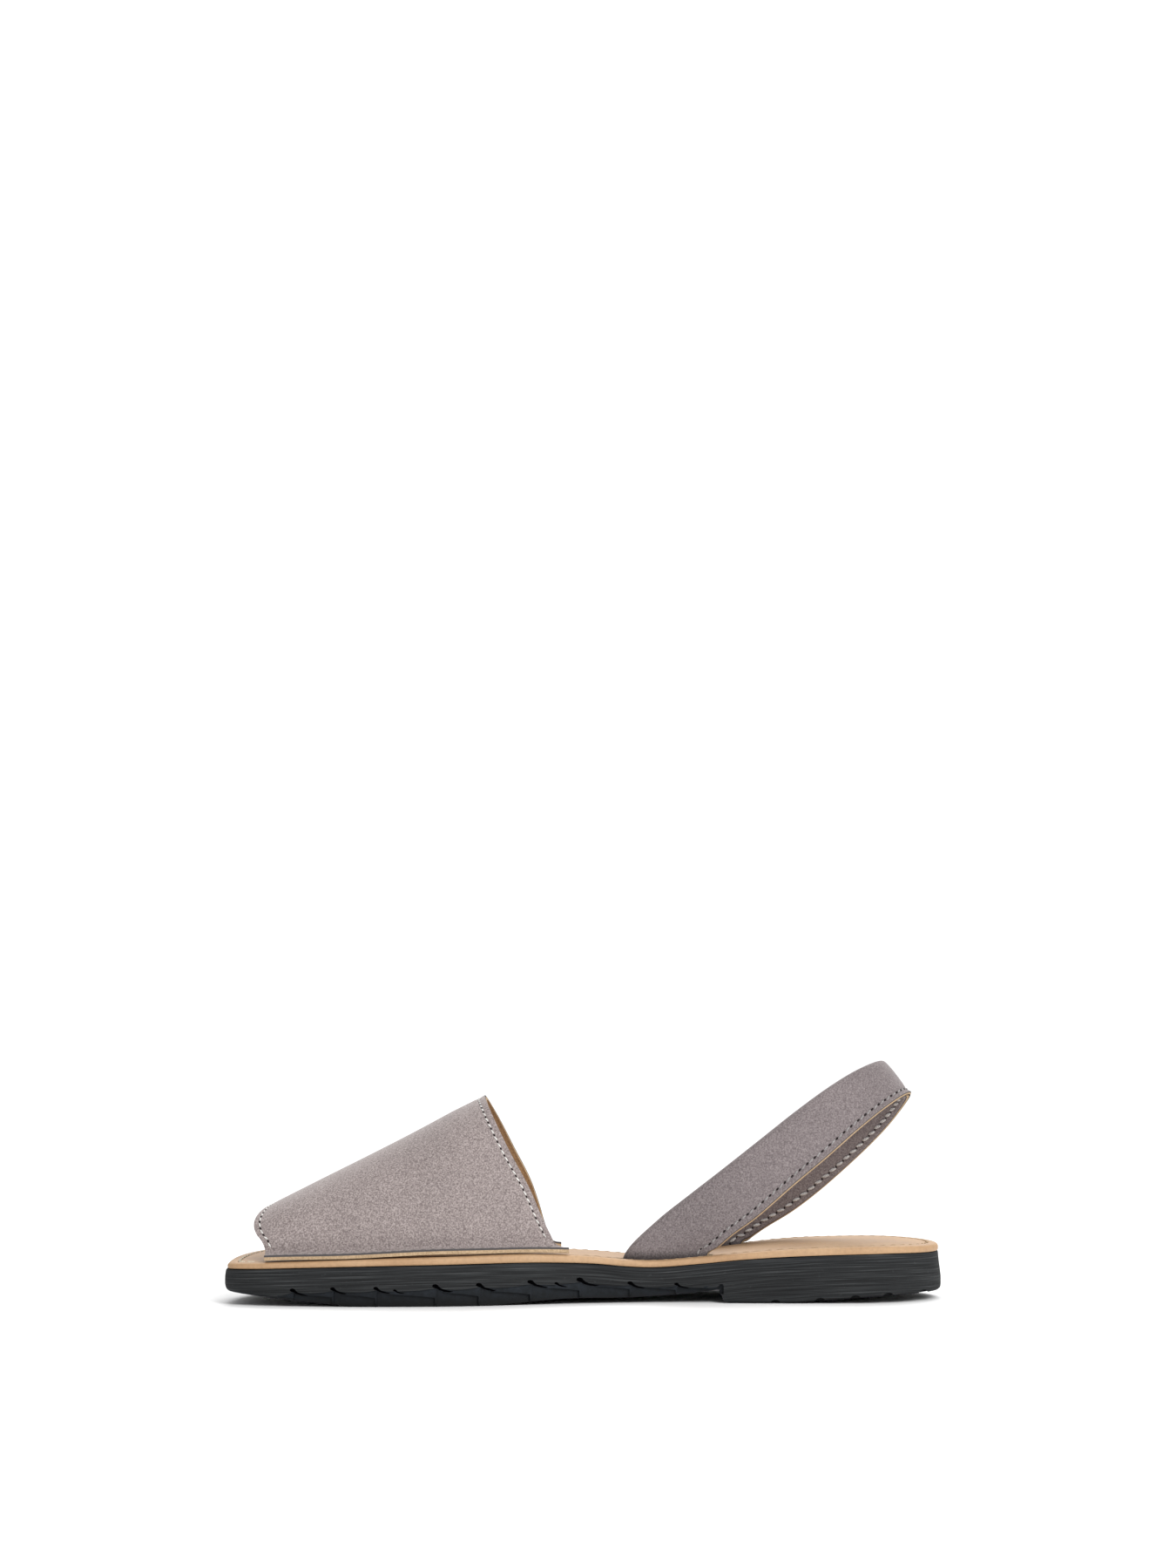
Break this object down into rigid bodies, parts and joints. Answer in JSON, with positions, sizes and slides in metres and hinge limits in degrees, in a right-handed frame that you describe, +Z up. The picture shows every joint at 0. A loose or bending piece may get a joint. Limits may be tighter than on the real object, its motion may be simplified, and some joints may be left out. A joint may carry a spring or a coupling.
{
  "type": "avarca sandal",
  "caption": "Flat open-toed sandal for the right foot: broad nubuck vamp sewn to a tan leather insole, folded heel strap, dark rubber sole with a low heel.",
  "frame": {"origin": "under the middle of the sole, on the plane that the heel and forefoot rest on", "axes": "+X to the toe, +Y to the inner side of the foot, +Z up"},
  "size_m": [0.25, 0.0902, 0.0828],
  "materials": {
    "sole_rubber": "matt dark blue-grey rubber, sanded along its side",
    "insole_leather": "natural tan leather, satin",
    "vamp_nubuck": "warm grey nubuck outside, tan flesh side inside",
    "strap_nubuck": "warm grey nubuck, folded and sewn along its lower edge"
  },
  "bodies": {
    "root": {"outsole": "sole_rubber", "insole": "insole_leather", "vamp": "vamp_nubuck", "heel_strap": "strap_nubuck"}
  },
  "joints": []
}
